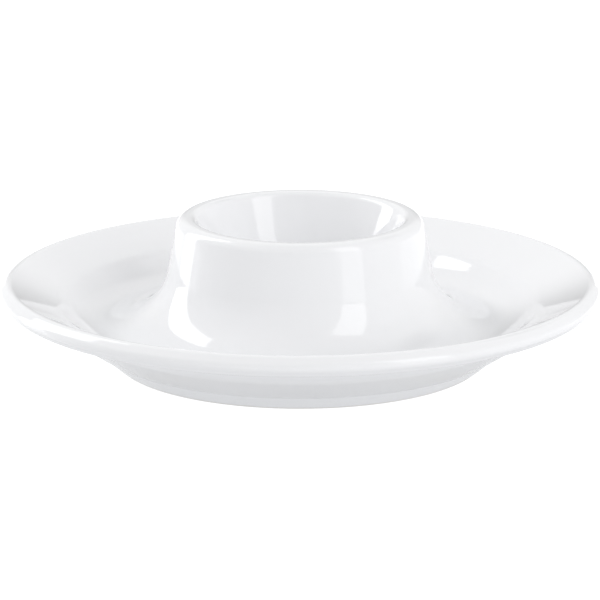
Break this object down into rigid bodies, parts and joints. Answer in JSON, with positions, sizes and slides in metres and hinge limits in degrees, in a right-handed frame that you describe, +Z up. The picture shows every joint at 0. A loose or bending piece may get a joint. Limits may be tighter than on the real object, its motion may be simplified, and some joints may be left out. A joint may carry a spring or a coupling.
{
  "type": "egg cup",
  "caption": "White glazed porcelain egg cup made in one with its saucer: a low flared cup in a ring-shaped well, on a turned foot ring.",
  "frame": {"origin": "centre of the standing face, on the table", "axes": "+Z up along the axis that the whole object is turned about; X and Y are equal, as it is round"},
  "size_m": [0.125, 0.125, 0.0305],
  "materials": {
    "white_porcelain": "glossy clear glaze over white porcelain, bare on the standing face"
  },
  "bodies": {
    "root": {"egg_bowl": "white_porcelain", "cup_wall": "white_porcelain", "saucer": "white_porcelain", "foot_ring": "white_porcelain"}
  },
  "joints": []
}
